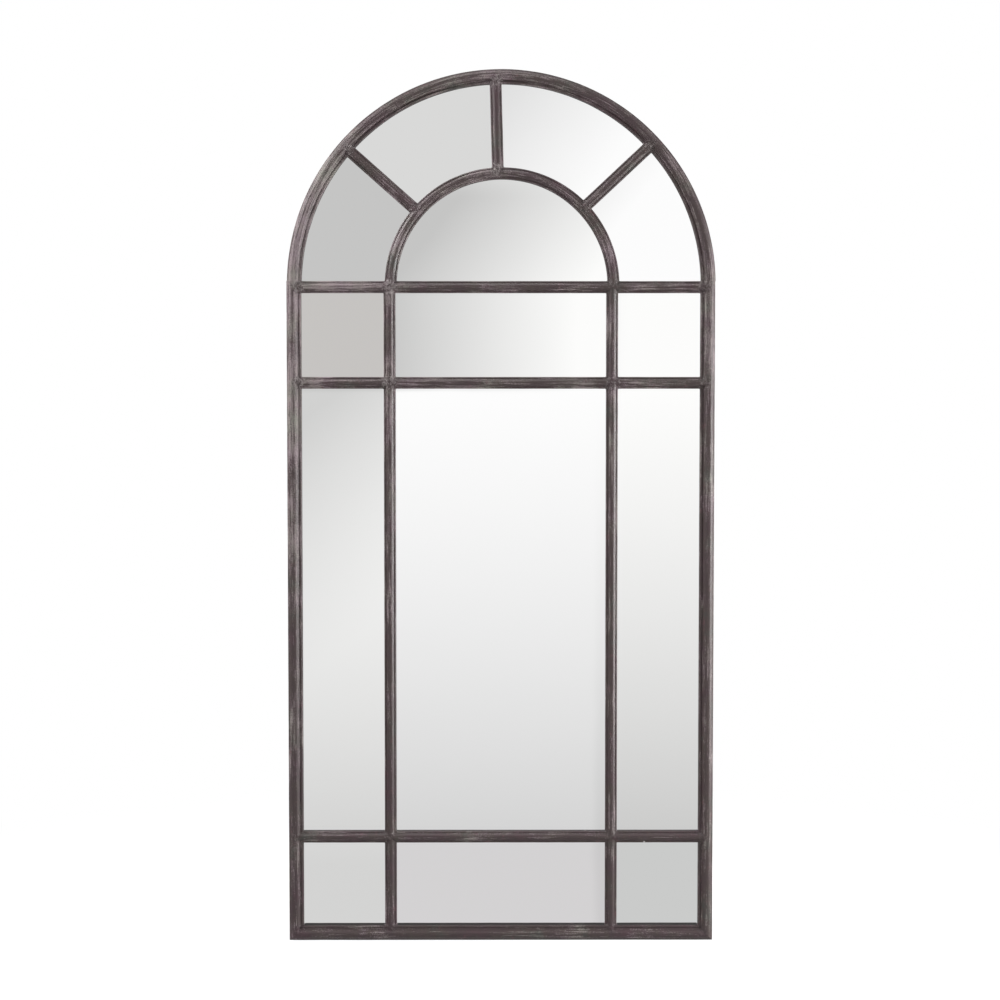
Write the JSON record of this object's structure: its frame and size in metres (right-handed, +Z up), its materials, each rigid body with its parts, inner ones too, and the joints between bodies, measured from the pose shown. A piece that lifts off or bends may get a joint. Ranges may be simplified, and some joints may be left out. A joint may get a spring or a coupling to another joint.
{
  "type": "arched window mirror",
  "caption": "Tall arched wall mirror with a fanlight lattice of hollow steel mouldings over separate mirror panes, and swinging hanging rings behind.",
  "frame": {"origin": "under the middle of the base member, half way between the front of the frame and the wall side of the pads", "axes": "+X to the right seen from the front, +Y back towards the wall, +Z up; the mirror faces -Y"},
  "size_m": [0.8, 0.033, 1.6349],
  "materials": {
    "painted_steel": "dark brown brushed-on paint, distressed with lilac grey streaks and small chips",
    "mirror_glass": "silvered float glass, 3 mm",
    "foam_tape": "double-sided foam tape",
    "hardboard": "brown fibreboard, smooth face out",
    "clip_steel": "bright zinc plate",
    "screw_steel": "zinc plated",
    "bar_steel": "black lacquer over rolled flat bar",
    "hanger_steel": "nickel plated",
    "pad_rubber": "black rubber"
  },
  "bodies": {
    "mirror": {"backing_board": "hardboard", "base_member": "painted_steel", "base_rail_centre": "painted_steel", "base_rail_left": "painted_steel", "base_rail_right": "painted_steel", "board_clips": "clip_steel", "clip_screws": "screw_steel", "hanging_bar": "bar_steel", "hanging_bar_screws": "screw_steel", "inner_arch": "painted_steel", "left_jamb": "painted_steel", "left_mullion": "painted_steel", "left_spoke": "painted_steel", "left_strap": "hanger_steel", "mounting_tape": "foam_tape", "outer_arch": "painted_steel", "pane_arch_centre": "mirror_glass", "pane_base_centre": "mirror_glass", "pane_base_left": "mirror_glass", "pane_base_right": "mirror_glass", "pane_fan_left_high": "mirror_glass", "pane_fan_left_low": "mirror_glass", "pane_fan_right_high": "mirror_glass", "pane_fan_right_low": "mirror_glass", "pane_tall_centre": "mirror_glass", "pane_tall_left": "mirror_glass", "pane_tall_right": "mirror_glass", "pane_upper_centre": "mirror_glass", "pane_upper_left": "mirror_glass", "pane_upper_right": "mirror_glass", "right_jamb": "painted_steel", "right_mullion": "painted_steel", "right_spoke": "painted_steel", "right_strap": "hanger_steel", "spring_rail_centre": "painted_steel", "spring_rail_left": "painted_steel", "spring_rail_right": "painted_steel", "strap_screws": "screw_steel", "top_spoke": "painted_steel", "upper_rail_centre": "painted_steel", "upper_rail_left": "painted_steel", "upper_rail_right": "painted_steel", "wall_pads": "pad_rubber"},
    "left_ring": {"left_ring": "hanger_steel"},
    "right_ring": {"right_ring": "hanger_steel"}
  },
  "joints": [
    {"name": "left_ring_swing", "type": "hinge", "parent": "mirror", "child": "left_ring", "pos_m": [-0.17, 0.01083, 1.2], "axis": [1, 0, 0], "range_deg": [0, 175]},
    {"name": "right_ring_swing", "type": "hinge", "parent": "mirror", "child": "right_ring", "pos_m": [0.17, 0.01083, 1.2], "axis": [1, 0, 0], "range_deg": [0, 175]}
  ]
}
